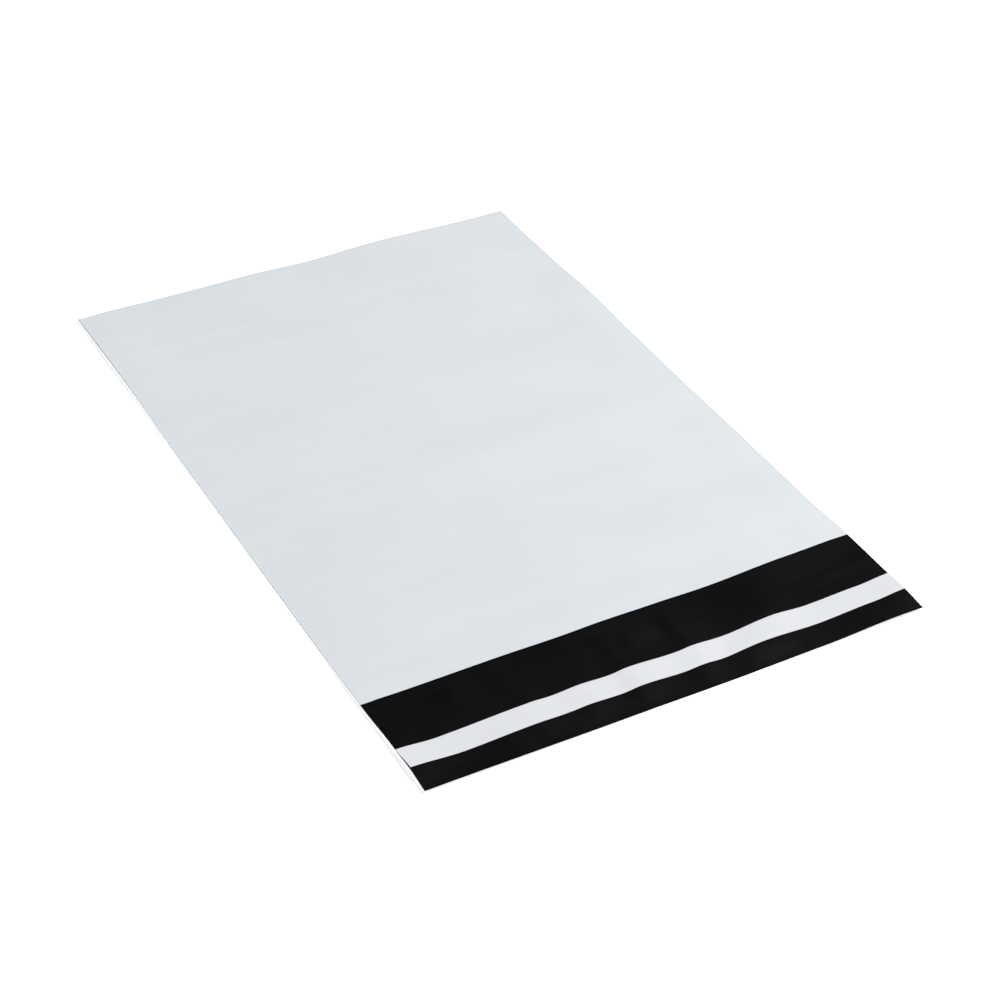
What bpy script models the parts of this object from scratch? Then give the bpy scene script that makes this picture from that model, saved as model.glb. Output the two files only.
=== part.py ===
"""A self-seal mailing bag of two-colour film, empty and lying flat on its back panel.

One sheet of film makes the whole bag. It starts at the free end of the lip, runs back under the
pocket, turns over at the bottom fold and comes forward again to the mouth. The two panels are
welded and trimmed along both sides. A strip of adhesive runs across the lip, and a peel-off
liner covers it.

Metres, +Z up. The bag's length runs along Y, with the lip at -Y and the bottom fold at +Y. The
origin is under the middle of the bag, on the surface that it lies on.
"""

import math

import bmesh
import bpy

# The cut bag
BAG_WIDTH = 0.229
POCKET_LENGTH = 0.305  # from the mouth to the bottom fold
LIP_LENGTH = 0.053  # what the back panel has past the mouth
FILM = 0.0000625
WELD_WIDTH = 0.001
WELD_BEAD = 0.00003  # how far the melted rim stands proud of the film, on each face

# The closing strip on the lip
STRIP_INSET = 0.0125  # from the free end of the lip to the liner
LINER_WIDTH = 0.0115
LINER_THICKNESS = 0.00007
LINER_OVERLAP = 0.0015  # bare liner past each long edge of the adhesive, to peel it by
ADHESIVE_THICKNESS = 0.00005
SEAT_GAP = 0.00005  # between the film, the adhesive and the liner

# The air left between the panels
MOUTH_AIR = 0.0003
FOLD_AIR = 0.0002
POCKET_AIR = 0.0011
AIR_RUN = 0.042  # how far in from the edges the air reaches its full depth
WELD_RUN = 0.01  # how far in from a weld the panels are as far apart as at the mouth or the fold

# Two straight creases from the pack that the bag was folded in
FOLD_TO_CREASE = 0.038
MOUTH_TO_CREASE = 0.136
CREASE_HEIGHT = 0.00025
CREASE_WIDTH = 0.005

# How the film stands off the surface along five lines across the bag: crests and troughs as
# (share of the width from the left side, height).
LIP_END_WAVE = (
    (0.0, 0.0011),
    (0.4, 0.0004),
    (0.6, 0.0),
    (0.78, 0.0004),
    (0.95, 0.0018),
    (1.0, 0.0016),
)
LINER_NEAR_WAVE = (
    (0.0, 0.0022),
    (0.105, 0.0005),
    (0.23, 0.0012),
    (0.3, 0.0009),
    (0.345, 0.0012),
    (0.41, 0.0006),
    (0.45, 0.0013),
    (0.535, 0.0002),
    (0.575, 0.0006),
    (0.61, 0.0),
    (0.7, 0.0015),
    (0.81, 0.0003),
    (0.93, 0.0013),
    (1.0, 0.0024),
)
LINER_FAR_WAVE = (
    (0.0, 0.0018),
    (0.075, 0.0004),
    (0.255, 0.0013),
    (0.295, 0.0008),
    (0.35, 0.0014),
    (0.41, 0.0007),
    (0.445, 0.0015),
    (0.545, 0.0003),
    (0.58, 0.0008),
    (0.64, 0.0),
    (0.745, 0.0018),
    (0.82, 0.0005),
    (0.93, 0.0011),
    (1.0, 0.0022),
)
MOUTH_WAVE = (
    (0.0, 0.0011),
    (0.08, 0.0007),
    (0.27, 0.001),
    (0.38, 0.0007),
    (0.47, 0.0011),
    (0.57, 0.0008),
    (0.68, 0.0003),
    (0.86, 0.0018),
    (1.0, 0.0024),
)
FOLD_WAVE = (
    (0.0, 0.0002),
    (0.1, 0.0007),
    (0.26, 0.0006),
    (0.38, 0.0009),
    (0.52, 0.0),
    (0.69, 0.0013),
    (0.93, 0.0001),
    (1.0, 0.0004),
)

# The same along each side weld: (share of the pocket's length from the mouth, height).
LEFT_WAVE = ((0.0, 0.0), (0.2, 0.0001), (0.56, 0.0004), (0.86, 0.0014), (1.0, 0.0007))
RIGHT_WAVE = (
    (0.0, 0.0),
    (0.06, 0.0),
    (0.15, 0.0013),
    (0.28, 0.0016),
    (0.45, 0.0012),
    (0.57, 0.0015),
    (0.69, 0.0024),
    (0.84, 0.0008),
    (0.95, 0.0),
    (1.0, 0.0),
)
SIDE_RUN = 0.036  # how far in from a side its waves reach
MOUTH_RUN = 0.05  # how far into the pocket the waves of the mouth reach
FOLD_RUN = 0.034  # and those of the bottom fold

# How finely the sheet is divided
ACROSS_STEP = 0.0048
LIP_STEP = 0.0075
POCKET_STEP = 0.018
NOSE_STEPS = 4  # facets round the bottom fold

# Finishes: sRGB colour, roughness
OUTER_FILM = ((0.890, 0.902, 0.914), 0.42)
INNER_FILM = ((0.050, 0.050, 0.054), 0.36)
HOT_MELT = ((0.860, 0.830, 0.700), 0.25)
LINER_FILM = ((0.910, 0.920, 0.930), 0.38)
SHARP_ANGLE = math.radians(35)

# Places along the bag, from the sizes above
LIP_END = -(LIP_LENGTH + POCKET_LENGTH) / 2
MOUTH = LIP_END + LIP_LENGTH
FOLD_RADIUS = FILM + FOLD_AIR / 2
FOLD_START = MOUTH + POCKET_LENGTH - FOLD_RADIUS
CREASES = (MOUTH + MOUTH_TO_CREASE, MOUTH + POCKET_LENGTH - FOLD_TO_CREASE)
LINER_EDGES = (LIP_END + STRIP_INSET, LIP_END + STRIP_INSET + LINER_WIDTH)
ADHESIVE_EDGES = (LINER_EDGES[0] + LINER_OVERLAP, LINER_EDGES[1] - LINER_OVERLAP)
LEFT_SIDE = -BAG_WIDTH / 2
RIGHT_SIDE = BAG_WIDTH / 2

# The lines across the lip that its waves are given along
CROSS_LINES = (
    (LIP_END, LIP_END_WAVE),
    (LINER_EDGES[0], LINER_NEAR_WAVE),
    (LINER_EDGES[1], LINER_FAR_WAVE),
    (MOUTH, MOUTH_WAVE),
)


def ease(share):
    """0 to 1 in a smooth S, level at both ends."""
    return 0.5 - 0.5 * math.cos(math.pi * min(max(share, 0.0), 1.0))


def wave_height(wave, share):
    """The height at a share along a line of crests and troughs."""
    for (start, low), (end, high) in zip(wave, wave[1:]):
        if share <= end:
            return low + (high - low) * ease((share - start) / (end - start))
    return wave[-1][1]


def crease_height(y):
    """How far the two creases lift the film at y."""
    nearest = min(abs(y - crease) for crease in CREASES)
    return CREASE_HEIGHT * max(0.0, 1 - nearest / (CREASE_WIDTH / 2))


def cross_height(across, y):
    """The height of the lip, blended between the lines that cross it. Past the mouth, the mouth's own."""
    for (near, low), (far, high) in zip(CROSS_LINES, CROSS_LINES[1:]):
        if y <= far:
            break
    start, end = wave_height(low, across), wave_height(high, across)
    return start + (end - start) * ease((y - near) / (far - near))


def lay_height(x, y):
    """The height of the bag's underside over the surface that it lies on."""
    across = (x - LEFT_SIDE) / BAG_WIDTH
    height = cross_height(across, y)
    if y <= MOUTH:
        return height
    along = (y - MOUTH) / POCKET_LENGTH
    left = wave_height(LEFT_WAVE, along) * (1 - ease((x - LEFT_SIDE) / SIDE_RUN))
    right = wave_height(RIGHT_WAVE, along) * (1 - ease((RIGHT_SIDE - x) / SIDE_RUN))
    bottom = wave_height(FOLD_WAVE, across) * (1 - ease((MOUTH + POCKET_LENGTH - y) / FOLD_RUN))
    mouth = height * (1 - ease((y - MOUTH) / MOUTH_RUN))
    return mouth + left + right + bottom + crease_height(y)


def air_height(x, y):
    """The space between the panels. It closes at the side welds."""
    from_side = BAG_WIDTH / 2 - WELD_WIDTH - abs(x)
    from_end = min(y - MOUTH, FOLD_START - y)
    least = MOUTH_AIR + (FOLD_AIR - MOUTH_AIR) * (y - MOUTH) / (FOLD_START - MOUTH)
    more = (POCKET_AIR - least) * ease(from_end / AIR_RUN)
    return least * ease(from_side / WELD_RUN) + more * ease(from_side / AIR_RUN)


def divided(marks, step):
    """The marks in order, with evenly spaced places between them, none further apart than the step."""
    marks = sorted(set(marks))
    places = [marks[0]]
    for start, end in zip(marks, marks[1:]):
        count = math.ceil((end - start) / step)
        places += [start + (end - start) * k / count for k in range(1, count)]
        places.append(end)
    return places


def places_across():
    """From the left side to the right, with a mark where each weld ends."""
    inside = divided((LEFT_SIDE + WELD_WIDTH, RIGHT_SIDE - WELD_WIDTH), ACROSS_STEP)
    return [LEFT_SIDE, *inside, RIGHT_SIDE]


def places_along_lip():
    """From the free end of the lip to the mouth, with marks at the edges of the strips."""
    return divided((LIP_END, *LINER_EDGES, *ADHESIVE_EDGES, MOUTH), LIP_STEP)


def places_along_pocket():
    """From the mouth to where the bottom fold starts to turn, with marks at the creases."""
    marks = [MOUTH, FOLD_START]
    for crease in CREASES:
        marks += [crease - CREASE_WIDTH / 2, crease, crease + CREASE_WIDTH / 2]
    return divided(marks, POCKET_STEP)


def rim(x):
    """How far the film stands proud at x, which is only on the rim of a weld."""
    return WELD_BEAD if abs(x) > BAG_WIDTH / 2 - WELD_WIDTH / 2 else 0.0


def skin(bm, rows, finish=0):
    """Faces between neighbouring rows of vertices. A face that closes up is left out."""
    for row, following in zip(rows, rows[1:]):
        for k in range(len(row) - 1):
            corners = []
            for vertex in (row[k], row[k + 1], following[k + 1], following[k]):
                if vertex not in corners:
                    corners.append(vertex)
            if len(corners) > 2:
                bm.faces.new(corners).material_index = finish


def turn(bm, column, radius, steps):
    """The vertices round a fold at one place across, from the lower to the upper of a pair."""
    lower, upper = column
    if lower is upper:
        return [lower] * (steps + 1)
    middle = (lower.co.z + upper.co.z) / 2
    half = (upper.co.z - lower.co.z) / 2
    points = [lower]
    for k in range(1, steps):
        angle = math.pi * k / steps
        place = (lower.co.x, lower.co.y + radius * math.sin(angle), middle - half * math.cos(angle))
        points.append(bm.verts.new(place))
    return [*points, upper]


def finished(bm, name, finishes):
    """The object of a mesh, with its normals out and its finishes in order."""
    bmesh.ops.triangulate(bm, faces=bm.faces, quad_method="SHORT_EDGE")
    bmesh.ops.recalc_face_normals(bm, faces=bm.faces)
    mesh = bpy.data.meshes.new(name)
    bm.to_mesh(mesh)
    bm.free()
    for finish in finishes:
        mesh.materials.append(finish)
    mesh.shade_smooth()
    mesh.set_sharp_from_angle(angle=SHARP_ANGLE)
    piece = bpy.data.objects.new(name, mesh)
    bpy.context.scene.collection.objects.link(piece)
    return piece


def linear(level):
    """An sRGB level as linear light."""
    return level / 12.92 if level <= 0.04045 else ((level + 0.055) / 1.055) ** 2.4


def plastic(name, finish):
    """A plain plastic of the finish's colour and roughness."""
    colour, roughness = finish
    material = bpy.data.materials.new(name)
    material.use_nodes = True
    shader = material.node_tree.nodes["Principled BSDF"]
    shader.inputs["Base Color"].default_value = (*map(linear, colour), 1.0)
    shader.inputs["Roughness"].default_value = roughness
    shader.inputs["Metallic"].default_value = 0.0
    return material


def make_film_bag():
    """The whole film: lip, back panel, bottom fold and front panel, welded along both sides."""
    bm = bmesh.new()
    outer, inner = 0, 1
    across = places_across()
    lip, pocket = places_along_lip(), places_along_pocket()

    def row(y, height):
        return [bm.verts.new((x, y, height(x, y))) for x in across]

    def underside(x, y):
        return lay_height(x, y) - rim(x)

    def back_face(x, y):
        return lay_height(x, y) + FILM + rim(x)

    def front_lining(x, y):
        return lay_height(x, y) + FILM + air_height(x, y)

    def front_face(x, y):
        return lay_height(x, y) + 2 * FILM + air_height(x, y) + rim(x)

    bottom = [row(y, underside) for y in [*lip, *pocket[1:]]]
    lip_face = [row(y, back_face) for y in lip]
    front = [row(y, front_face) for y in pocket]
    last = len(across) - 2

    # Inside the pocket both linings share their vertices along the welds.
    floor, ceiling = [lip_face[-1][1:-1]], []
    for y in pocket[1:]:
        floor.append([bm.verts.new((x, y, back_face(x, y))) for x in across[1:-1]])
    for y, under in zip(pocket, floor):
        inside = [bm.verts.new((x, y, front_lining(x, y))) for x in across[2:last]]
        ceiling.append([under[0], *inside, under[-1]])

    skin(bm, [line[::-1] for line in bottom], outer)
    skin(bm, lip_face, inner)
    skin(bm, floor, inner)
    skin(bm, [line[::-1] for line in ceiling], inner)
    skin(bm, front, outer)

    # The bottom fold: the same turn outside and, round the air, inside.
    outside = [turn(bm, pair, FOLD_RADIUS, NOSE_STEPS) for pair in zip(bottom[-1], front[-1])]
    inside = [turn(bm, pair, FOLD_AIR / 2, NOSE_STEPS) for pair in zip(floor[-1], ceiling[-1])]
    skin(bm, outside, outer)
    skin(bm, [line[::-1] for line in inside], inner)

    # The cut edges: the free end of the lip, and the mouth with a weld at each end.
    skin(bm, [bottom[0], lip_face[0]], outer)
    skin(bm, [ceiling[0], front[0][1:-1]], outer)
    for start in (0, last):
        bm.faces.new(
            (lip_face[-1][start], lip_face[-1][start + 1], front[0][start + 1], front[0][start])
        )

    # The trimmed sides, closed from the lip's edge to the end of the fold.
    mouth = len(lip) - 1
    for side in (0, -1):
        low = [line[side] for line in bottom]
        skin(bm, [low[: mouth + 1], [line[side] for line in lip_face]], outer)
        high = [line[side] for line in front]
        bm.faces.new((low[mouth], low[mouth + 1], high[1], high[0], lip_face[-1][side]))
        skin(bm, [low[mouth + 1 :], high[1:]], outer)
        bm.faces.new(outside[side])

    finishes = (plastic("outer_film", OUTER_FILM), plastic("inner_film", INNER_FILM))
    return finished(bm, "film_bag", finishes)


def make_strip(name, edges, seat, thickness, finish):
    """A strip across the lip, parallel to the face of the film and at a height of seat over it."""
    bm = bmesh.new()
    across = places_across()
    rows = []
    for y in places_along_lip():
        if edges[0] <= y <= edges[1]:
            heights = [lay_height(x, y) + FILM + rim(x) + seat for x in across]
            rows.append([bm.verts.new((x, y, z)) for x, z in zip(across, heights)])
    skin(bm, rows)
    bmesh.ops.triangulate(bm, faces=bm.faces, quad_method="SHORT_EDGE")
    top = bmesh.ops.extrude_face_region(bm, geom=bm.faces[:])["geom"]
    lifted = [item for item in top if isinstance(item, bmesh.types.BMVert)]
    bmesh.ops.translate(bm, verts=lifted, vec=(0.0, 0.0, thickness))
    return finished(bm, name, (plastic(name + "_finish", finish),))


def main():
    for old in list(bpy.data.objects):
        bpy.data.objects.remove(old, do_unlink=True)
    make_film_bag()
    make_strip("adhesive_strip", ADHESIVE_EDGES, SEAT_GAP, ADHESIVE_THICKNESS, HOT_MELT)
    liner_seat = SEAT_GAP + ADHESIVE_THICKNESS + SEAT_GAP
    make_strip("release_liner", LINER_EDGES, liner_seat, LINER_THICKNESS, LINER_FILM)


if __name__ == "__main__":
    main()
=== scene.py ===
"""Looks of a self-seal poly mailer: a flat, empty bag of film with a peel-off closing strip.

The bag is made in the order of a bag maker. A web of film is laid flat, doubled over at the bottom
fold and given its thickness. It settles into the slight waves and buckles that it lies in, and both
sides are welded. Then the line of adhesive and its liner are laid across the lip.

Metres, +Z up. The lip points to -Y, the bottom fold to +Y, and the bag lies on the floor at z = 0.
"""

from __future__ import annotations

import logging
import math
from collections.abc import Callable
from dataclasses import dataclass, replace
from enum import Enum

import bpy
import numpy as np
from mathutils import Matrix, Vector, noise

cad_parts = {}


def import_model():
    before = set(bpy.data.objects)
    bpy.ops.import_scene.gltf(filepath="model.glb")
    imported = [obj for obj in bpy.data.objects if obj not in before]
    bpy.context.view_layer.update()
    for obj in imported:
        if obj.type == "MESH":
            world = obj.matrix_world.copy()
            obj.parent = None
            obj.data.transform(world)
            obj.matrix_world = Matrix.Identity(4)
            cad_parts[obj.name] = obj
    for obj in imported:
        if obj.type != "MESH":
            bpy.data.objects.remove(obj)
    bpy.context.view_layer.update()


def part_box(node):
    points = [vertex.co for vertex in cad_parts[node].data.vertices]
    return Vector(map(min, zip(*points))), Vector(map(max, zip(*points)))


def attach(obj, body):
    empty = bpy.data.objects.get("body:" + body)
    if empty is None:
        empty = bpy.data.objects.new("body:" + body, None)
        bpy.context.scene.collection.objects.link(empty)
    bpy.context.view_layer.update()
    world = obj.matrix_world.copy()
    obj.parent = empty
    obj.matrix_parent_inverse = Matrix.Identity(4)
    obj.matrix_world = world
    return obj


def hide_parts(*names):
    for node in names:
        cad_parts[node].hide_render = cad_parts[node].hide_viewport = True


LOG = logging.getLogger("poly_mailer")
BODY = "root"
# The point attribute that holds the painted shade on the left flanks of the lip's ridges.
FLANK_SHADE = "flank_shade"
BLACK = (0.0, 0.0, 0.0, 1.0)
# A Mix node's colour sockets share their names with other sockets, so they are found by number.
MIX_FIRST, MIX_SECOND, MIX_RESULT = 6, 7, 2
Colour = tuple[float, float, float]
Triple = tuple[float, float, float]


class Node(Enum):
    """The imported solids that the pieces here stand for."""

    BAG = "film_bag"
    ADHESIVE = "adhesive_strip"
    LINER = "release_liner"


class Slot(Enum):
    """The material slots of the record."""

    FILM = "film"
    ADHESIVE = "adhesive"
    LINER = "liner"


class Side(Enum):
    """The finishes of the bag's faces, in the order of its material slots."""

    OUTER = 0
    INNER = 1
    # The cut edges, which also carry painted shade.
    CUT_EDGE_AND_SHADE = 2


def ease(share: np.ndarray | float) -> np.ndarray:
    """0 to 1 in a smooth S, level at both ends."""
    return 0.5 - 0.5 * np.cos(np.pi * np.clip(share, 0.0, 1.0))


def linear(colour: Colour) -> tuple[float, float, float, float]:
    """Turns an sRGB colour into linear light.

    Args:
        colour: Red, green and blue, 0 to 1, as seen on a screen.

    Returns:
        The same colour in linear light, with a full alpha.
    """
    parts = [c / 12.92 if c <= 0.04045 else ((c + 0.055) / 1.055) ** 2.4 for c in colour]
    return (parts[0], parts[1], parts[2], 1.0)


@dataclass(frozen=True)
class Wave:
    """Crests and troughs along a line, each (share of the line, metres), smooth between them."""

    points: tuple[tuple[float, float], ...]

    def height(self, share: np.ndarray) -> np.ndarray:
        """Reads the wave.

        Args:
            share: Where along the line, 0 to 1, one value for each point.

        Returns:
            The height at each of those places.
        """
        places, heights = np.array(self.points).T
        k = np.clip(np.searchsorted(places, share, side="right") - 1, 0, len(places) - 2)
        between = ease((share - places[k]) / (places[k + 1] - places[k]))
        return heights[k] + (heights[k + 1] - heights[k]) * between


@dataclass(frozen=True)
class Film:
    """The film that the bag is made of, and its welds."""

    thickness: float = 0.0000625
    weld: float = 0.001
    bead: float = 0.00008


@dataclass(frozen=True)
class Buckle:
    """A shallow ridge down the lip: its middle, half its length and width, lean and rise."""

    across: float
    along: float
    reach: float
    half_width: float
    lean: float
    rise: float

    def form(self, x: np.ndarray, y: np.ndarray) -> np.ndarray:
        """The ridge's form, 1 at its top.

        Args:
            x: Places from the bag's left side.
            y: Places from the lip's end.

        Returns:
            The share of its rise at each point.
        """
        ridge = self.across + self.lean * (self.along - y)
        over = 1 - ease(np.abs(x - ridge) / self.half_width)
        return over * (1 - ease(np.abs(y - self.along) / self.reach))

    def height(self, x: np.ndarray, y: np.ndarray) -> np.ndarray:
        """How far the ridge lifts the film at each point."""
        return self.rise * self.form(x, y)

    def flank_shade(self, x: np.ndarray, y: np.ndarray) -> np.ndarray:
        """How much each point lies on the ridge's left flank, where shade is painted into the black
        film's colour.
        """
        return self.form(x + self.half_width / 2, y)


@dataclass(frozen=True)
class Lay:
    """How the empty bag lies: its waves and buckles, its two creases and the air inside."""

    left: float
    right: float
    lip_end: float
    liner_near: float
    liner_far: float
    mouth: float
    bottom: float
    film: Film = Film()

    lip_end_wave: Wave = Wave(
        ((0.0, 0.0011), (0.4, 0.0004), (0.6, 0.0), (0.78, 0.0004), (0.95, 0.0018), (1.0, 0.0016))
    )
    liner_near_wave: Wave = Wave(
        (
            (0.0, 0.0022),
            (0.105, 0.0005),
            (0.23, 0.0012),
            (0.3, 0.0009),
            (0.345, 0.0012),
            (0.41, 0.0006),
            (0.45, 0.0013),
            (0.535, 0.0002),
            (0.575, 0.0006),
            (0.61, 0.0),
            (0.7, 0.0015),
            (0.81, 0.0003),
            (0.93, 0.0013),
            (1.0, 0.0024),
        )
    )
    liner_far_wave: Wave = Wave(
        (
            (0.0, 0.0018),
            (0.075, 0.0004),
            (0.255, 0.0013),
            (0.295, 0.0008),
            (0.35, 0.0014),
            (0.41, 0.0007),
            (0.445, 0.0015),
            (0.545, 0.0003),
            (0.58, 0.0008),
            (0.64, 0.0),
            (0.745, 0.0018),
            (0.82, 0.0005),
            (0.93, 0.0011),
            (1.0, 0.0022),
        )
    )
    mouth_wave: Wave = Wave(
        (
            (0.0, 0.0011),
            (0.08, 0.0007),
            (0.27, 0.001),
            (0.38, 0.0007),
            (0.47, 0.0011),
            (0.57, 0.0008),
            (0.68, 0.0003),
            (0.86, 0.0018),
            (1.0, 0.0024),
        )
    )
    bottom_wave: Wave = Wave(
        (
            (0.0, 0.0002),
            (0.1, 0.0007),
            (0.26, 0.0006),
            (0.38, 0.0009),
            (0.52, 0.0),
            (0.69, 0.0013),
            (0.93, 0.0001),
            (1.0, 0.0004),
        )
    )
    left_wave: Wave = Wave(
        ((0.0, 0.0), (0.2, 0.0001), (0.56, 0.0004), (0.86, 0.0014), (1.0, 0.0007))
    )
    right_wave: Wave = Wave(
        (
            (0.0, 0.0),
            (0.06, 0.0),
            (0.15, 0.0013),
            (0.28, 0.0016),
            (0.45, 0.0012),
            (0.57, 0.0015),
            (0.69, 0.0024),
            (0.84, 0.0008),
            (0.95, 0.0),
            (1.0, 0.0),
        )
    )
    left_bow: Wave = Wave(
        (
            (0.0, 0.0),
            (0.07, 0.0001),
            (0.148, 0.0006),
            (0.3, 0.0004),
            (0.7, 0.0004),
            (0.8, 0.0002),
            (1.0, 0.0004),
        )
    )
    side_run: float = 0.036
    mouth_run: float = 0.05
    bottom_run: float = 0.034

    crease_from_mouth: float = 0.136
    crease_from_bottom: float = 0.038
    crease_height: float = 0.0001
    crease_width: float = 0.006

    buckles: tuple[Buckle, ...] = (
        Buckle(0.0330, 0.039, 0.016, 0.0055, 0.0, 0.00028),
        Buckle(0.0552, 0.038, 0.018, 0.0065, 0.3, 0.00034),
        Buckle(0.1017, 0.039, 0.015, 0.0050, 0.2, 0.00022),
        Buckle(0.1116, 0.037, 0.012, 0.0040, -0.25, 0.00016),
        Buckle(0.1320, 0.037, 0.018, 0.0055, 0.0, 0.00022),
        Buckle(0.2230, 0.038, 0.012, 0.0160, -8.0, 0.00010),
        Buckle(0.0077, 0.004, 0.007, 0.0035, 1.0, 0.00010),
        Buckle(0.0570, 0.008, 0.012, 0.0060, 0.1, 0.00014),
        Buckle(0.0780, 0.009, 0.010, 0.0050, 0.1, 0.00012),
        Buckle(0.0990, 0.008, 0.012, 0.0060, 0.1, 0.00016),
        Buckle(0.1290, 0.007, 0.012, 0.0060, 0.1, 0.00016),
        Buckle(0.1500, 0.007, 0.012, 0.0060, 0.1, 0.00016),
        Buckle(0.1680, 0.007, 0.014, 0.0090, 0.1, 0.00002),
        Buckle(0.1770, 0.006, 0.011, 0.0060, 0.1, 0.00014),
        Buckle(0.2265, 0.005, 0.006, 0.0040, -1.5, 0.00008),
    )

    mouth_air: float = 0.0003
    bottom_air: float = 0.0002
    pocket_air: float = 0.0011
    air_run: float = 0.042
    weld_run: float = 0.01

    # A thicker bead at the far left corner: its dark cut edge is painted shade for the shadow under
    # the lifted corner.
    corner_shade_bead: float = 0.00016
    corner_start: float = 0.70
    corner_run: float = 0.18

    @property
    def width(self) -> float:
        """The bag's width."""
        return self.right - self.left

    @property
    def fold_start(self) -> float:
        """Where the panels start to turn into the bottom fold."""
        return self.bottom - self.film.thickness - self.bottom_air / 2

    @property
    def creases(self) -> tuple[float, float]:
        """Where along the bag its two creases run."""
        return (self.mouth + self.crease_from_mouth, self.bottom - self.crease_from_bottom)

    def cross_height(self, across: np.ndarray, y: np.ndarray) -> np.ndarray:
        """The lip's height, blended between the lines that cross it.

        Args:
            across: Share of the width from the left side.
            y: Place along the bag.

        Returns:
            The height at each point. Past the mouth it is the mouth's own.
        """
        lines = (
            (self.lip_end, self.lip_end_wave),
            (self.liner_near, self.liner_near_wave),
            (self.liner_far, self.liner_far_wave),
            (self.mouth, self.mouth_wave),
        )
        height = self.lip_end_wave.height(across)
        for (near, low), (far, high) in zip(lines, lines[1:]):
            start, end = low.height(across), high.height(across)
            between = start + (end - start) * ease((y - near) / (far - near))
            height = np.where(y > near, between, height)
        return height

    def height(self, x: np.ndarray, y: np.ndarray) -> np.ndarray:
        """How far the bag's underside stands off the floor.

        Args:
            x: Places across the bag.
            y: Places along it.

        Returns:
            The height at each point.
        """
        across = (x - self.left) / self.width
        along = np.clip((y - self.mouth) / (self.bottom - self.mouth), 0.0, 1.0)
        lip = self.cross_height(across, y) * (1 - ease((y - self.mouth) / self.mouth_run))
        left = self.left_wave.height(along) * (1 - ease((x - self.left) / self.side_run))
        right = self.right_wave.height(along) * (1 - ease((self.right - x) / self.side_run))
        bottom = self.bottom_wave.height(across) * (1 - ease((self.bottom - y) / self.bottom_run))
        nearest = np.min([np.abs(y - crease) for crease in self.creases], axis=0)
        crease = self.crease_height * (1 - ease(nearest / (self.crease_width / 2)))
        ridges = sum(buckle.height(x - self.left, y - self.lip_end) for buckle in self.buckles)
        return lip + ridges + np.where(y > self.mouth, left + right + bottom + crease, 0.0)

    def flank_shade(self, x: np.ndarray, y: np.ndarray) -> np.ndarray:
        """How much painted shade each point of the lip gets on its ridges' left flanks, 0 to 1."""
        flanks = [buckle.flank_shade(x - self.left, y - self.lip_end) for buckle in self.buckles]
        return np.max(flanks, axis=0)

    def air(self, x: np.ndarray, y: np.ndarray) -> np.ndarray:
        """The space between the panels, which closes at the side welds.

        Args:
            x: Places across the bag.
            y: Places along it.

        Returns:
            The space at each point.
        """
        from_side = self.width / 2 - self.film.weld - np.abs(x - (self.left + self.right) / 2)
        from_end = np.minimum(y - self.mouth, self.fold_start - y)
        along = (y - self.mouth) / (self.fold_start - self.mouth)
        least = self.mouth_air + (self.bottom_air - self.mouth_air) * np.clip(along, 0.0, 1.0)
        more = (self.pocket_air - least) * ease(from_end / self.air_run)
        return least * ease(from_side / self.weld_run) + more * ease(from_side / self.air_run)

    def bow(self, x: np.ndarray, y: np.ndarray) -> np.ndarray:
        """How far the film was pulled out to the left when its side was trimmed.

        Args:
            x: Places across the bag.
            y: Places along it.

        Returns:
            The shift at each point, which fades out towards the middle.
        """
        share = (y - self.lip_end) / (self.bottom - self.lip_end)
        return self.left_bow.height(share) * (1 - ease((x - self.left) / self.side_run))

    def rim(self, x: np.ndarray, y: np.ndarray) -> np.ndarray:
        """How far the melted rim of a weld stands proud of the film, as a round bead.

        Args:
            x: Places across the bag.
            y: Places along it. Near the far left corner the bead is thicker, so that its dark cut
                edge widens into painted shade for the shadow under the lifted corner.

        Returns:
            The height of the bead over the film's face.
        """
        middle = (self.left + self.right) / 2
        from_side = self.width / 2 - np.abs(x - middle)
        share = np.clip(1 - from_side / (self.film.weld / 2), 0.0, 1.0)
        along = (y - self.mouth) / (self.bottom - self.mouth)
        corner_shade_share = ease((along - self.corner_start) / self.corner_run) * (x < middle)
        return (self.film.bead + self.corner_shade_bead * corner_shade_share) * np.sqrt(share * (2 - share))


def divided(marks: tuple[float, ...], step: float) -> np.ndarray:
    """Places along a line.

    Args:
        marks: Places that it has to have.
        step: The most that two neighbours may be apart.

    Returns:
        The marks in order, with evenly spaced places between them.
    """
    ordered = sorted(set(marks))
    runs = [
        np.linspace(start, end, math.ceil((end - start) / step), endpoint=False)
        for start, end in zip(ordered, ordered[1:])
    ]
    return np.append(np.concatenate(runs), ordered[-1])


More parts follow.
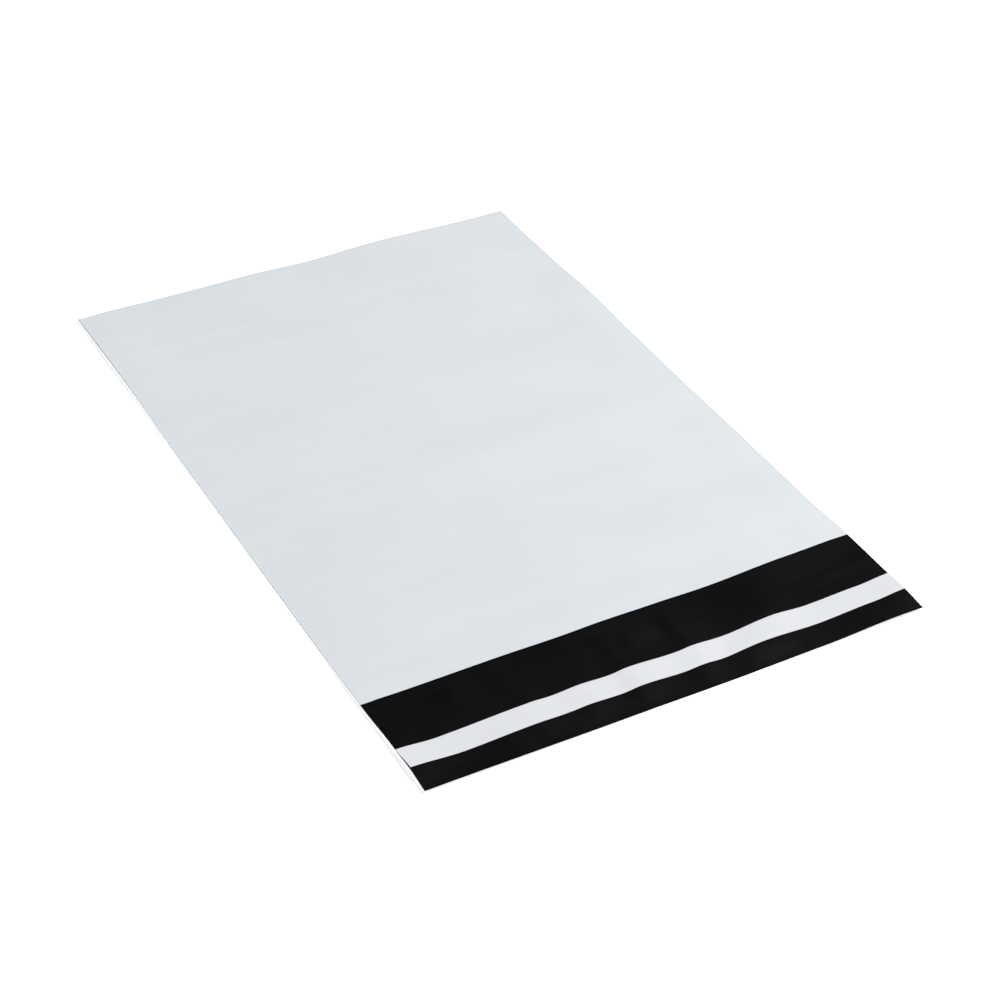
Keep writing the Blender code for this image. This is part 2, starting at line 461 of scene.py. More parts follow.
class Bench:
    """Blender's tools, as they are used on one piece after another."""

    @staticmethod
    def clear() -> None:
        """Leaves edit mode and deselects everything."""
        if bpy.context.object and bpy.context.object.mode != "OBJECT":
            bpy.ops.object.mode_set(mode="OBJECT")
        bpy.ops.object.select_all(action="DESELECT")

    @staticmethod
    def take(piece: bpy.types.Object) -> None:
        """Makes a piece the one that is worked on."""
        Bench.clear()
        piece.select_set(True)
        bpy.context.view_layer.objects.active = piece

    @staticmethod
    def web(name: str, across: np.ndarray, along: np.ndarray) -> bpy.types.Object:
        """Lays out a flat web of film.

        Args:
            name: The piece's name.
            across: Where its lines along the bag run.
            along: Where its lines across the bag run.

        Returns:
            The web, at z = 0.
        """
        Bench.clear()
        bpy.ops.mesh.primitive_grid_add(
            x_subdivisions=len(across) - 1, y_subdivisions=len(along) - 1, size=1.0
        )
        piece = bpy.context.object
        piece.name = piece.data.name = name
        points = Bench.points(piece)
        column = np.round((points[:, 0] + 0.5) * (len(across) - 1)).astype(int)
        row = np.round((points[:, 1] + 0.5) * (len(along) - 1)).astype(int)
        Bench.move(piece, np.stack((across[column], along[row], 0 * points[:, 2]), axis=1))
        return piece

    @staticmethod
    def points(piece: bpy.types.Object) -> np.ndarray:
        """The places of a piece's vertices."""
        flat = np.empty(len(piece.data.vertices) * 3)
        piece.data.vertices.foreach_get("co", flat)
        return flat.reshape(-1, 3)

    @staticmethod
    def move(piece: bpy.types.Object, points: np.ndarray) -> None:
        """Moves a piece's vertices to the points given."""
        piece.data.vertices.foreach_set("co", points.ravel())
        piece.data.update()

    @staticmethod
    def let_go(piece: bpy.types.Object, kind: str) -> None:
        """Takes a piece with nothing of it selected.

        Args:
            piece: The piece to work on.
            kind: What is to be selected next, FACE or EDGE.
        """
        Bench.take(piece)
        bpy.ops.object.mode_set(mode="EDIT")
        bpy.ops.mesh.select_mode(type=kind)
        bpy.ops.mesh.select_all(action="DESELECT")
        bpy.ops.object.mode_set(mode="OBJECT")

    @staticmethod
    def select(piece: bpy.types.Object, test: Callable[[bpy.types.MeshPolygon], bool]) -> None:
        """Selects faces and enters edit mode with them.

        Args:
            piece: The piece to work on.
            test: Says of a face whether it is taken.
        """
        Bench.let_go(piece, "FACE")
        for face in piece.data.polygons:
            face.select = test(face)
        bpy.ops.object.mode_set(mode="EDIT")

    @staticmethod
    def select_edges(piece: bpy.types.Object, test: Callable[[Vector, Vector], bool]) -> None:
        """Selects edges by their two ends and enters edit mode with them.

        Args:
            piece: The piece to work on.
            test: Says of an edge's two ends whether it is taken.
        """
        Bench.let_go(piece, "EDGE")
        corners = piece.data.vertices
        for edge in piece.data.edges:
            start, end = edge.vertices
            edge.select = test(corners[start].co, corners[end].co)
        bpy.ops.object.mode_set(mode="EDIT")

    @staticmethod
    def thicken(piece: bpy.types.Object, thickness: float, inner: int = 0, rim: int = 0) -> None:
        """Gives a web its thickness, away from the side that its faces look to.

        Args:
            piece: The web.
            thickness: Its thickness.
            inner: The material slot of the new faces, counted on from the old ones'.
            rim: The same for the cut edges.
        """
        Bench.take(piece)
        solid = piece.modifiers.new("film", "SOLIDIFY")
        solid.thickness = thickness
        solid.offset = -1.0
        solid.use_even_offset = True
        solid.material_offset = inner
        solid.material_offset_rim = rim
        bpy.ops.object.modifier_apply(modifier=solid.name)

    @staticmethod
    def smooth(piece: bpy.types.Object, degrees: float = 50.0) -> None:
        """Shades a piece smooth, with its sharp edges kept, and leaves it finished."""
        Bench.take(piece)
        bpy.ops.object.shade_smooth_by_angle(angle=math.radians(degrees))
        Bench.clear()
        count = sum(len(face.vertices) - 2 for face in piece.data.polygons)
        LOG.info("%s: %d triangles", piece.name, count)


class Nodes:
    """A short hand for making a node tree."""

    def __init__(self, tree: bpy.types.NodeTree) -> None:
        """Works on one tree."""
        self.tree = tree

    def add(self, kind: str, **settings: object) -> bpy.types.Node:
        """Adds a node.

        Args:
            kind: The node's type, without the word ShaderNode.
            settings: Its properties by name.

        Returns:
            The new node.
        """
        node = self.tree.nodes.new("ShaderNode" + kind)
        for name, value in settings.items():
            setattr(node, name, value)
        return node

    def link(self, source: bpy.types.NodeSocket, target: bpy.types.NodeSocket) -> None:
        """Links two sockets."""
        self.tree.links.new(source, target)

    def feed(self, socket: bpy.types.NodeSocket, value: object) -> None:
        """Links a socket, or sets it to a plain value."""
        if isinstance(value, bpy.types.NodeSocket):
            self.link(value, socket)
        else:
            socket.default_value = value

    def math(self, operation: str, *values: object, clamp: bool = False) -> bpy.types.NodeSocket:
        """Adds a Math node.

        Args:
            operation: What it works out.
            values: Its inputs in order, each a socket or a number.
            clamp: Whether the result is kept from 0 to 1.

        Returns:
            The result's socket.
        """
        node = self.add("Math", operation=operation, use_clamp=clamp)
        for socket, value in zip(node.inputs, values):
            self.feed(socket, value)
        return node.outputs["Value"]

    def ramp(
        self, value: object, low: float, high: float, start: float, end: float
    ) -> bpy.types.NodeSocket:
        """Maps a value from one range smoothly onto another.

        Args:
            value: The socket to map.
            low: Where its range starts.
            high: Where its range ends.
            start: What the low end becomes.
            end: What the high end becomes.

        Returns:
            The result's socket.
        """
        node = self.add("MapRange", interpolation_type="SMOOTHSTEP")
        ends = {"From Min": low, "From Max": high, "To Min": start, "To Max": end}
        for name, number in ends.items():
            node.inputs[name].default_value = number
        self.feed(node.inputs["Value"], value)
        return node.outputs["Result"]

    def noise(self, vector: object, scale: Triple, detail: float) -> bpy.types.NodeSocket:
        """Adds noise of a size given for each direction.

        Args:
            vector: Where the noise is read.
            scale: Waves a metre along X, Y and Z.
            detail: How many finer layers it has.

        Returns:
            The noise's value.
        """
        mapping = self.add("Mapping")
        mapping.inputs["Scale"].default_value = scale
        self.feed(mapping.inputs["Vector"], vector)
        pattern = self.add("TexNoise")
        pattern.inputs["Scale"].default_value = 1.0
        pattern.inputs["Detail"].default_value = detail
        self.link(mapping.outputs["Vector"], pattern.inputs["Vector"])
        return pattern.outputs["Fac"]


def group_of(
    name: str, inputs: dict[str, tuple[str, float]], outputs: tuple[str, ...]
) -> bpy.types.NodeTree:
    """Makes an empty node group with its sockets.

    Args:
        name: The group's name.
        inputs: Each input's kind of socket and first value, by name.
        outputs: The names of its outputs, all plain values.

    Returns:
        The group, with its input and output nodes.
    """
    tree = bpy.data.node_groups.new(name, "ShaderNodeTree")
    for label, (kind, value) in inputs.items():
        socket = tree.interface.new_socket(label, in_out="INPUT", socket_type=kind)
        if kind == "NodeSocketFloat":
            socket.default_value = value
    for label in outputs:
        tree.interface.new_socket(label, in_out="OUTPUT", socket_type="NodeSocketFloat")
    tree.nodes.new("NodeGroupInput")
    tree.nodes.new("NodeGroupOutput")
    return tree


@dataclass(frozen=True)
class FilmGrain:
    """What blowing and rolling leave in a film: lines along the web, clouds and a fine tooth."""

    name: str = "film grain"
    die_lines: Triple = (3.0, 420.0, 420.0)
    roll_bands: Triple = (2.5, 34.0, 34.0)
    clouds: Triple = (16.0, 24.0, 24.0)
    tooth: Triple = (2600.0, 2600.0, 2600.0)
    sharp_layers: float = 3.0
    soft_layers: float = 2.0
    band_tone: float = 0.45
    cloud_tone: float = 0.4
    line_tone: float = 0.15
    cloud_gloss: float = 0.55
    line_gloss: float = 0.25
    tooth_gloss: float = 0.2
    line_height: float = 0.000002
    tooth_height: float = 0.000001

    def group(self) -> bpy.types.NodeTree:
        """Builds the node group once.

        Returns:
            The group. Its Tone and Gloss lie round 0.5, and its Height is in metres.
        """
        known = bpy.data.node_groups.get(self.name)
        if known:
            return known
        inputs = {
            "Vector": ("NodeSocketVector", 0.0),
            "Line Height": ("NodeSocketFloat", self.line_height),
            "Tooth Height": ("NodeSocketFloat", self.tooth_height),
        }
        tree = group_of(self.name, inputs, ("Tone", "Gloss", "Height"))
        nodes = Nodes(tree)
        given = tree.nodes["Group Input"].outputs
        result = tree.nodes["Group Output"].inputs
        lines = nodes.noise(given["Vector"], self.die_lines, self.sharp_layers)
        bands = nodes.noise(given["Vector"], self.roll_bands, self.soft_layers)
        clouds = nodes.noise(given["Vector"], self.clouds, self.sharp_layers)
        tooth = nodes.noise(given["Vector"], self.tooth, self.soft_layers)
        tone = nodes.math("MULTIPLY", clouds, self.cloud_tone)
        tone = nodes.math("MULTIPLY_ADD", bands, self.band_tone, tone)
        nodes.link(nodes.math("MULTIPLY_ADD", lines, self.line_tone, tone), result["Tone"])
        gloss = nodes.math("MULTIPLY", lines, self.line_gloss)
        gloss = nodes.math("MULTIPLY_ADD", clouds, self.cloud_gloss, gloss)
        nodes.link(nodes.math("MULTIPLY_ADD", tooth, self.tooth_gloss, gloss), result["Gloss"])
        ridges = nodes.math("MULTIPLY", lines, given["Line Height"])
        height = nodes.math("MULTIPLY_ADD", tooth, given["Tooth Height"], ridges)
        nodes.link(height, result["Height"])
        return tree


@dataclass(frozen=True)
class Handling:
    """What is left on a film by handling, and in it by its melt: rubbed places and specks."""

    name: str = "handling marks"
    rubs: Triple = (38.0, 95.0, 60.0)
    rub_layers: float = 4.0
    rub_range: tuple[float, float] = (0.56, 0.74)
    speck_cells: float = 85.0
    speck_size: float = 0.022

    def group(self) -> bpy.types.NodeTree:
        """Builds the node group once.

        Returns:
            The group. Its Rub and Speck are masks from 0 to 1.
        """
        known = bpy.data.node_groups.get(self.name)
        if known:
            return known
        inputs = {
            "Vector": ("NodeSocketVector", 0.0),
            "Speck Size": ("NodeSocketFloat", self.speck_size),
        }
        tree = group_of(self.name, inputs, ("Rub", "Speck"))
        nodes = Nodes(tree)
        given = tree.nodes["Group Input"].outputs
        result = tree.nodes["Group Output"].inputs
        rubs = nodes.noise(given["Vector"], self.rubs, self.rub_layers)
        nodes.link(nodes.ramp(rubs, *self.rub_range, 0.0, 1.0), result["Rub"])
        cells = nodes.add("TexVoronoi")
        cells.inputs["Scale"].default_value = self.speck_cells
        nodes.link(given["Vector"], cells.inputs["Vector"])
        near = nodes.math("LESS_THAN", cells.outputs["Distance"], given["Speck Size"])
        nodes.link(near, result["Speck"])
        return tree


@dataclass(frozen=True)
class Finish:
    """One satin or glossy plastic: its colours, its gloss, how far the film's marks show, and the
    shade painted along its creases or ridge flanks.
    """

    name: str
    dark: Colour
    light: Colour
    speck: Colour
    smoothest: float
    roughest: float
    specular: float
    line_height: float
    tooth_height: float
    rub: float
    # How far painted shade darkens the ridge flanks towards black.
    flank_shade_strength: float = 0.0
    grain_range: tuple[float, float] = (0.36, 0.64)
    # Painted shade along the creases: where the darker lines run, how far they reach, how dark they
    # get and how they break up.
    creases: tuple[float, ...] = ()
    crease_shade_reach: float = 0.0035
    crease_shade_tone: float = 0.988
    crease_breaks: Triple = (26.0, 3.0, 3.0)
    break_layers: float = 2.0
    break_range: tuple[float, float] = (0.3, 0.6)
    crease_shade_faintest: float = 0.45

    def material(self) -> bpy.types.Material:
        """Builds the finish's node tree.

        Returns:
            The material.
        """
        material = bpy.data.materials.new(self.name)
        material.use_nodes = True
        nodes = Nodes(material.node_tree)
        shader = material.node_tree.nodes["Principled BSDF"]
        shader.inputs["Specular IOR Level"].default_value = self.specular
        place = nodes.add("TexCoord").outputs["Object"]
        grain = nodes.add("Group", node_tree=FilmGrain().group())
        marks = nodes.add("Group", node_tree=Handling().group())
        grain.inputs["Line Height"].default_value = self.line_height
        grain.inputs["Tooth Height"].default_value = self.tooth_height
        nodes.link(place, grain.inputs["Vector"])
        nodes.link(place, marks.inputs["Vector"])

        tone = nodes.ramp(grain.outputs["Tone"], *self.grain_range, 0.0, 1.0)
        plain = self.mix(nodes, tone, linear(self.dark), linear(self.light))
        colour = self.mix(nodes, marks.outputs["Speck"], plain, linear(self.speck))
        # Painted shade: a thin darker line along each crease.
        if self.creases:
            colour = self.paint_crease_shade(nodes, place, colour)
        # Painted shade: the colour is darkened towards black on the left flanks of the lip's
        # ridges.
        if self.flank_shade_strength:
            flank_shade = nodes.add("Attribute", attribute_name=FLANK_SHADE).outputs["Fac"]
            share = nodes.math("MULTIPLY", flank_shade, self.flank_shade_strength, clamp=True)
            colour = self.mix(nodes, share, colour, BLACK)
        nodes.link(colour, shader.inputs["Base Color"])

        gloss = (self.smoothest, self.roughest)
        satin = nodes.ramp(grain.outputs["Gloss"], *self.grain_range, *gloss)
        rubbed = nodes.math("MULTIPLY_ADD", marks.outputs["Rub"], self.rub, satin)
        nodes.link(rubbed, shader.inputs["Roughness"])

        bump = nodes.add("Bump")
        bump.inputs["Strength"].default_value = 1.0
        bump.inputs["Distance"].default_value = 1.0
        nodes.link(grain.outputs["Height"], bump.inputs["Height"])
        nodes.link(bump.outputs["Normal"], shader.inputs["Normal"])
        return material

    def paint_crease_shade(self, nodes: Nodes, place: object, colour: object) -> bpy.types.NodeSocket:
        """Paints shade along the lines where the film was once folded: a thin darker line that
        stands in for the shading of the shallow creases.

        Args:
            nodes: The tree to add to.
            place: The socket with the Object coordinates.
            colour: The film's colour.

        Returns:
            The colour with painted shade along its crease lines.
        """
        split = nodes.add("SeparateXYZ")
        nodes.link(place, split.inputs["Vector"])
        patches = nodes.noise(place, self.crease_breaks, self.break_layers)
        broken = nodes.ramp(patches, *self.break_range, self.crease_shade_faintest, 1.0)
        crease_shade: object = 0.0
        for crease in self.creases:
            away = nodes.math("ABSOLUTE", nodes.math("SUBTRACT", split.outputs["Y"], crease))
            crease_shade = nodes.math("MAXIMUM", crease_shade, nodes.ramp(away, 0.0, self.crease_shade_reach, 1.0, 0.0))
        tone = (self.crease_shade_tone, self.crease_shade_tone, self.crease_shade_tone, 1.0)
        return self.mix(nodes, nodes.math("MULTIPLY", crease_shade, broken), colour, tone, "MULTIPLY")

    @staticmethod
    def mix(
        nodes: Nodes, share: object, first: object, second: object, blend: str = "MIX"
    ) -> bpy.types.NodeSocket:
        """Mixes two colours.

        Args:
            nodes: The tree to add to.
            share: How much of the second colour there is.
            first: A socket or a colour.
            second: A socket or a colour.
            blend: How the second colour is laid over the first.

        Returns:
            The mixed colour's socket.
        """
        node = nodes.add("Mix", data_type="RGBA", blend_type=blend)
        nodes.feed(node.inputs["Factor"], share)
        nodes.feed(node.inputs[MIX_FIRST], first)
        nodes.feed(node.inputs[MIX_SECOND], second)
        return node.outputs[MIX_RESULT]


OUTER_FILM = Finish(
    name="outer film, pale grey",
    dark=(0.838, 0.857, 0.874),
    light=(0.850, 0.869, 0.884),
    speck=(0.80, 0.815, 0.83),
    smoothest=0.44,
    roughest=0.54,
    specular=0.36,
    line_height=0.0000025,
    tooth_height=0.0000012,
    rub=0.05,
)
INNER_FILM = Finish(
    name="inner film, black",
    dark=(0.032, 0.032, 0.032),
    light=(0.042, 0.042, 0.042),
    speck=(0.075, 0.075, 0.075),
    smoothest=0.38,
    roughest=0.48,
    specular=0.145,
    line_height=0.000002,
    tooth_height=0.0000012,
    rub=0.06,
    # Painted shade on the left flanks of the lip's ridges.
    flank_shade_strength=0.42,
)
# The cut edge shows the film's black inner layer as a dark grey, and is painted darker still:
# painted shade that stands in for the shadow under the lifted left edge.
CUT_EDGE_AND_SHADE = Finish(
    name="cut edge of the film, with painted shade",
    dark=(0.09, 0.092, 0.095),
    light=(0.16, 0.163, 0.167),
    speck=(0.06, 0.06, 0.06),
    smoothest=0.45,
    roughest=0.55,
    specular=0.25,
    line_height=0.0,
    tooth_height=0.000001,
    rub=0.0,
)
HOT_MELT = Finish(
    name="hot-melt adhesive",
    dark=(0.83, 0.79, 0.63),
    light=(0.87, 0.84, 0.71),
    speck=(0.8, 0.76, 0.6),
    smoothest=0.16,
    roughest=0.26,
    specular=0.5,
    line_height=0.000006,
    tooth_height=0.0,
    rub=0.0,
)
LINER_FILM = Finish(
    name="liner film, white",
    dark=(0.851, 0.858, 0.873),
    light=(0.863, 0.870, 0.885),
    speck=(0.82, 0.825, 0.84),
    smoothest=0.46,
    roughest=0.54,
    specular=0.28,
    line_height=0.0000015,
    tooth_height=0.0000006,
    rub=0.04,
)


@dataclass
class FilmBag:
    """The bag: one web of film, doubled over, welded along both sides and open at the mouth."""

    lay: Lay
    column_step: float = 0.0024
    row_step: float = 0.0024
    weld_columns: int = 4
    fold_cuts: int = 5
    merge: float = 0.000002
    swell: float = 0.00008
    swell_length: float = 0.055

    def build(self) -> bpy.types.Object:
        """Makes the bag.

        Returns:
            The finished piece.
        """
        bag = Bench.web("mailer_film", self.columns(), self.rows())
        # The outer film gets painted shade along the bag's two creases.
        outer = replace(OUTER_FILM, creases=self.lay.creases)
        for finish in (outer, INNER_FILM, CUT_EDGE_AND_SHADE):
            bag.data.materials.append(finish.material())
        self.double_over(bag)
        self.round_the_fold(bag)
        Bench.thicken(bag, self.lay.film.thickness, Side.INNER.value, Side.CUT_EDGE_AND_SHADE.value)
        self.settle(bag)
        self.weld_sides(bag)
        self.mark_flank_shade(bag)
        Bench.smooth(bag)
        return bag

    def columns(self) -> np.ndarray:
        """Where the web's lines along the bag run, with some over each weld."""
        lay, weld = self.lay, self.lay.film.weld
        middle = divided((lay.left + weld, lay.right - weld), self.column_step)
        over_weld = np.arange(self.weld_columns) * weld / self.weld_columns
        return np.concatenate((lay.left + over_weld, middle, (lay.right - over_weld)[::-1]))

    def rows(self) -> np.ndarray:
        """Where the web's lines across the bag run, from the lip's end to the bottom fold."""
        lay = self.lay
        marks = [lay.lip_end, lay.liner_near, lay.liner_far, lay.mouth, lay.fold_start]
        for crease in lay.creases:
            marks += [crease + lay.crease_width * share for share in (-0.5, -0.25, 0.0, 0.25, 0.5)]
        return divided(tuple(marks), self.row_step)

    @property
    def stack(self) -> float:
        """How far the front panel's outer face lies over the back panel's, while all is flat."""
        return 2 * self.lay.film.thickness + self.lay.bottom_air

    def double_over(self, bag: bpy.types.Object) -> None:
        """Lays the front panel over the back one and joins them with rows to be rounded."""
        lay = self.lay
        Bench.select(bag, lambda face: True)
        bpy.ops.mesh.flip_normals()
        Bench.select(bag, lambda face: face.center.y > lay.mouth)
        bpy.ops.mesh.duplicate()
        bpy.ops.transform.translate(value=(0.0, 0.0, self.stack))
        bpy.ops.mesh.flip_normals()
        edge = lay.fold_start - self.merge
        Bench.select_edges(bag, lambda start, end: start.y > edge and end.y > edge)
        bpy.ops.mesh.bridge_edge_loops(number_cuts=self.fold_cuts, interpolation="LINEAR")
        Bench.clear()

    def round_the_fold(self, bag: bpy.types.Object) -> None:
        """Pushes the rows between the panels out to a half round."""
        radius = self.stack / 2
        points = Bench.points(bag)
        height = points[:, 2].copy()
        turning = (height > self.merge) & (height < self.stack - self.merge)
        angle = np.pi * height[turning] / self.stack
        points[turning, 1] = self.lay.fold_start + radius * np.sin(angle)
        points[turning, 2] = radius - radius * np.cos(angle)
        Bench.move(bag, points)

    def swelling(self, x: np.ndarray, y: np.ndarray) -> np.ndarray:
        """The last slight unevenness of the front panel, which fades out at its edges.

        Args:
            x: Places across the bag.
            y: Places along it.

        Returns:
            How far the panel stands over its plain shape at each point.
        """
        lay = self.lay
        places = [Vector((across, along, 0.0)) / self.swell_length for across, along in zip(x, y)]
        uneven = np.array([noise.noise(place) for place in places])
        from_side = np.minimum(x - lay.left, lay.right - x)
        from_end = np.minimum(y - lay.mouth, lay.fold_start - y)
        return self.swell * uneven * ease(from_side / lay.side_run) * ease(from_end / lay.side_run)

    def settle(self, bag: bpy.types.Object) -> None:
        """Lets the flat stack down into the waves that the bag lies in."""
        lay, film = self.lay, self.lay.film
        points = Bench.points(bag)
        inner = np.zeros(len(points), bool)
        for face in bag.data.polygons:
            if face.material_index == Side.INNER.value:
                inner[list(face.vertices)] = True
        x, y, flat = points[:, 0], np.minimum(points[:, 1], lay.fold_start), points[:, 2]
        air = lay.air(x, y) + np.where(y > lay.mouth, self.swelling(x, y), 0.0)
        inside = film.thickness + (flat - film.thickness) * air / lay.bottom_air
        outside = flat * (2 * film.thickness + air) / self.stack
        on_lip = y < lay.mouth - self.merge
        level = np.where(inner, np.where(on_lip, film.thickness, inside), outside)
        outward = np.where(flat < self.stack / 2, -1.0, 1.0)
        bead = np.where(inner, np.where(on_lip, 1.0, 0.0), outward)
        points[:, 2] = lay.height(x, y) + level + bead * lay.rim(x, y)
        points[:, 0] = x - lay.bow(x, y)
        Bench.move(bag, points)

    def mark_flank_shade(self, bag: bpy.types.Object) -> None:
        """Notes on each point how much painted shade its ridge flank gets, for the black film's
        colour.
        """
        x, y, _ = Bench.points(bag).T
        marks = bag.data.attributes.new(FLANK_SHADE, "FLOAT", "POINT")
        marks.data.foreach_set("value", self.lay.flank_shade(x, y))

    def weld_sides(self, bag: bpy.types.Object) -> None:
        """Melts the panels into one along both sides of the pocket."""
        lay = self.lay
        from_middle = lay.width / 2 - lay.film.weld

        def in_weld(face: bpy.types.MeshPolygon) -> bool:
            """Whether a face looks into the pocket from within a weld."""
            x, y = face.center.x, face.center.y
            in_band = abs(x + lay.bow(x, y)) > from_middle and y > lay.mouth
            return bool(in_band and face.material_index == Side.INNER.value)

        Bench.select(bag, in_weld)
        bpy.ops.mesh.delete(type="ONLY_FACE")
        bpy.ops.mesh.select_mode(type="VERT")
        bpy.ops.mesh.select_all(action="SELECT")
        bpy.ops.mesh.delete_loose()
        bpy.ops.mesh.select_all(action="SELECT")
        bpy.ops.mesh.remove_doubles(threshold=self.merge)
        Bench.clear()


@dataclass
class Strip:
    """A thin strip laid across the lip from side to side."""

    name: str
    lay: Lay
    near: float
    far: float
    seat: float
    thickness: float
    finish: Finish
    droop: float = 0.0
    droop_run: float = 0.0
    skew: float = 0.0
    skew_run: float = 0.012
    inset: float = 0.0
    column_step: float = 0.0016
    row_step: float = 0.0008

    def build(self) -> bpy.types.Object:
        """Makes the strip.

        Returns:
            The finished piece, seated on the lip.
        """
        lay = self.lay
        columns = divided((lay.left + self.inset, lay.right - self.inset), self.column_step)
        strip = Bench.web(self.name, columns, divided((self.near, self.far), self.row_step))
        strip.data.materials.append(self.finish.material())
        Bench.select(strip, lambda face: True)
        bpy.ops.mesh.flip_normals()
        Bench.clear()
        Bench.thicken(strip, self.thickness)
        points = Bench.points(strip)
        x, y = points[:, 0], points[:, 1]
        share = ease((self.far - y) / (self.far - self.near))
        x += self.skew * share * (1 - ease((x - lay.left) / self.skew_run))
        from_edge = np.minimum(y - self.near, self.far - y)
        sunk = self.droop * (1 - ease(from_edge / self.droop_run)) if self.droop_run else 0.0
        points[:, 2] += lay.height(x, y) + lay.film.thickness + lay.rim(x, y) + self.seat - sunk
        points[:, 0] = x - lay.bow(x, y)
        Bench.move(strip, points)
        Bench.smooth(strip)
        return strip


@dataclass(frozen=True)
class Softbox:
    """A square soft light that is aimed at the bag."""

    name: str
    place: Triple
    side: float
    power: float
    colour: Colour = (1.0, 1.0, 1.0)

    def hang(self) -> None:
        """Adds the light, turned to the bag's middle."""
        bpy.ops.object.light_add(type="AREA", location=self.place)
        lamp = bpy.context.object
        lamp.name = self.name
        lamp.data.shape = "SQUARE"
        lamp.data.size = self.side
        lamp.data.energy = self.power
        lamp.data.color = self.colour
        lamp.rotation_euler = (-Vector(self.place)).to_track_quat("-Z", "Y").to_euler()


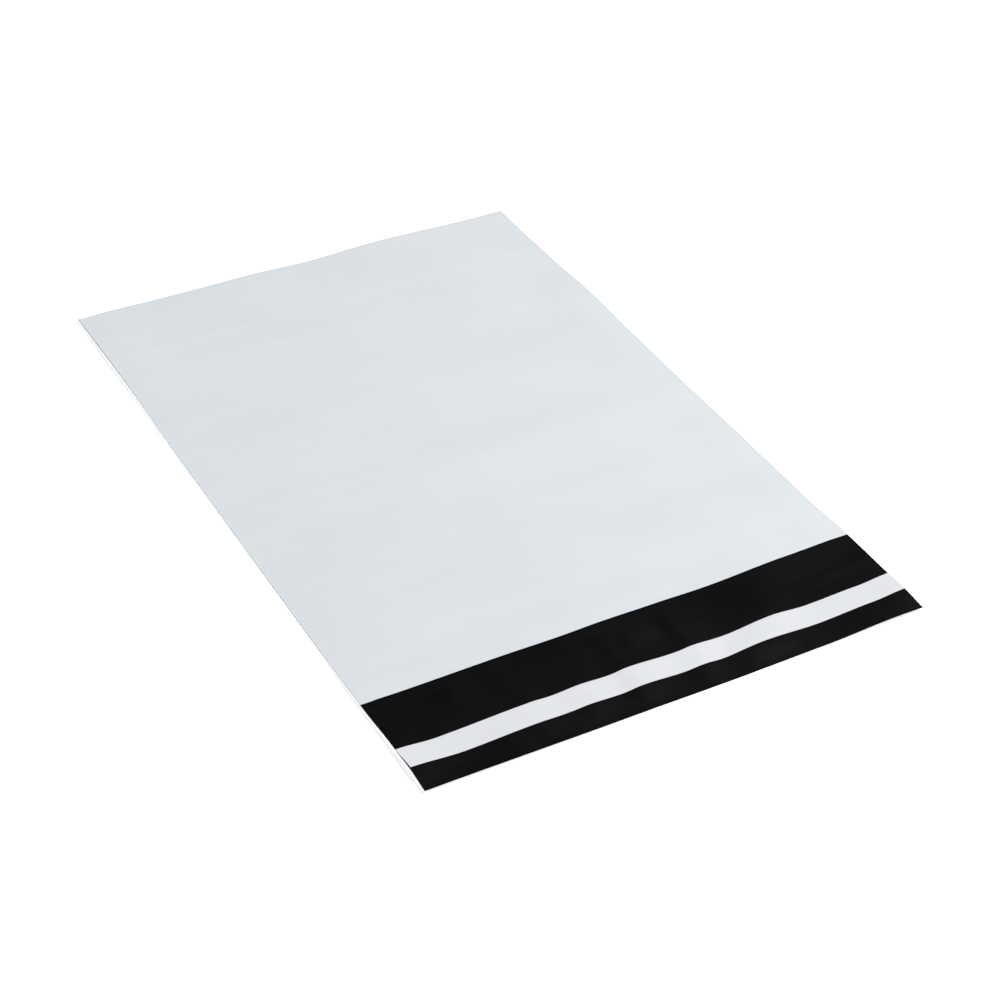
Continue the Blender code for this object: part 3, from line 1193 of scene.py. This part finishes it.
@dataclass(frozen=True)
class Studio:
    """A white floor, soft light and the camera of the photograph."""

    eye: Triple = (-0.39942, -0.72517, 0.60879)
    look: Triple = (0.39513, 0.68882, -0.60778)
    right: Triple = (0.87595, -0.48184, 0.02339)
    focal_pixels: float = 2320.8
    picture_pixels: float = 1000.0
    sensor: float = 36.0
    sight: float = 50.0
    floor_side: float = 24.0
    floor_drop: float = 0.0001
    floor_white: Colour = (0.92, 0.92, 0.92)
    floor_rough: float = 0.9
    floor_specular: float = 0.1
    floor_glow: float = 0.52
    far_glow: float = 1.3
    near_reach: float = 0.9
    far_reach: float = 3.2
    sky: Colour = (0.93, 0.97, 1.0)
    sky_strength: float = 0.02
    wall_white: float = 1.1
    boxes: tuple[Softbox, ...] = (
        Softbox("near right", (1.3, -0.5, 1.6), 1.0, 50.5, (1.0, 0.995, 0.988)),
        Softbox("far left", (-1.45, 0.7, 1.35), 1.3, 23.5, (0.98, 0.993, 1.0)),
        Softbox("glimmer", (1.4, 1.1, 1.0), 0.5, 0.25),
    )

    def build(self) -> None:
        """Sets up the floor, the light and the camera."""
        Bench.clear()
        self.lay_floor()
        self.fill_sky()
        for box in self.boxes:
            box.hang()
        self.set_camera()
        bpy.context.scene.view_settings.view_transform = "Standard"

    def lay_floor(self) -> None:
        """Adds the floor, a hair under the bag, with a glow that keeps it white out to its edge."""
        place = (0.0, 0.0, -self.floor_drop)
        bpy.ops.mesh.primitive_plane_add(size=self.floor_side, location=place)
        floor = bpy.context.object
        floor.name = "floor"
        material = bpy.data.materials.new("white floor")
        material.use_nodes = True
        shader = material.node_tree.nodes["Principled BSDF"]
        shader.inputs["Base Color"].default_value = linear(self.floor_white)
        shader.inputs["Roughness"].default_value = self.floor_rough
        shader.inputs["Specular IOR Level"].default_value = self.floor_specular
        shader.inputs["Emission Color"].default_value = linear(self.floor_white)
        nodes = Nodes(material.node_tree)
        away = nodes.add("VectorMath", operation="LENGTH")
        nodes.link(nodes.add("TexCoord").outputs["Object"], away.inputs[0])
        spread = (self.near_reach, self.far_reach, self.floor_glow, self.far_glow)
        glow = nodes.ramp(away.outputs["Value"], *spread)
        nodes.link(glow, shader.inputs["Emission Strength"])
        floor.data.materials.append(material)

    def fill_sky(self) -> None:
        """Adds the even light of the room, in front of walls that look white."""
        world = bpy.data.worlds.new("room")
        world.use_nodes = True
        background = world.node_tree.nodes["Background"]
        background.inputs["Color"].default_value = (*self.sky, 1.0)
        nodes = Nodes(world.node_tree)
        seen = nodes.add("LightPath").outputs["Is Camera Ray"]
        strength = nodes.math("MULTIPLY_ADD", seen, self.wall_white, self.sky_strength)
        nodes.link(strength, background.inputs["Strength"])
        bpy.context.scene.world = world

    def set_camera(self) -> None:
        """Puts the camera where the photograph was taken from."""
        bpy.ops.object.camera_add()
        camera = bpy.context.object
        back = -Vector(self.look).normalized()
        up = back.cross(Vector(self.right)).normalized()
        turned = Matrix((up.cross(back), up, back)).transposed()
        camera.matrix_world = Matrix.Translation(self.eye) @ turned.to_4x4()
        camera.data.sensor_width = self.sensor
        camera.data.lens = self.sensor * self.focal_pixels / self.picture_pixels
        camera.data.clip_end = self.sight
        bpy.context.scene.camera = camera


@dataclass
class Mailer:
    """The whole object: bag, adhesive and liner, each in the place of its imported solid."""

    lip_length: float = 0.053
    liner_overlap: float = 0.0015
    seat_gap: float = 0.00005
    adhesive_thickness: float = 0.00005
    adhesive_inset: float = 0.0009
    liner_thickness: float = 0.00007
    liner_skew: float = 0.00045

    def build(self) -> None:
        """Makes every piece, hangs it on the body and hides the imported solid that it stands for.
        """
        low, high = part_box(Node.BAG.value)
        near, far = (corner.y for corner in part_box(Node.LINER.value))
        lay = Lay(low.x, high.x, low.y, near, far, low.y + self.lip_length, high.y)
        self.place(FilmBag(lay).build(), Node.BAG, Slot.FILM)
        adhesive = Strip(
            name="hot_melt_line",
            lay=lay,
            near=near + self.liner_overlap,
            far=far - self.liner_overlap,
            seat=self.seat_gap,
            thickness=self.adhesive_thickness,
            finish=HOT_MELT,
            inset=self.adhesive_inset,
        )
        self.place(adhesive.build(), Node.ADHESIVE, Slot.ADHESIVE)
        over_adhesive = self.seat_gap + self.adhesive_thickness + self.seat_gap
        liner = Strip(
            name="peel_liner",
            lay=lay,
            near=near,
            far=far,
            seat=over_adhesive,
            thickness=self.liner_thickness,
            finish=LINER_FILM,
            droop=self.adhesive_thickness,
            droop_run=self.liner_overlap,
            skew=self.liner_skew,
        )
        self.place(liner.build(), Node.LINER, Slot.LINER)

    @staticmethod
    def place(piece: bpy.types.Object, node: Node, slot: Slot) -> None:
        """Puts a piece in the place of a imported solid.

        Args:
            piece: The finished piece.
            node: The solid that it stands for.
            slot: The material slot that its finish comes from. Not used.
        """
        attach(piece, BODY)
        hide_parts(node.value)


def main() -> None:
    """Builds the mailer in its studio."""
    logging.basicConfig(level=logging.INFO, format="%(name)s: %(message)s")
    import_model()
    Studio().build()
    Mailer().build()


if __name__ == "__main__":
    main()
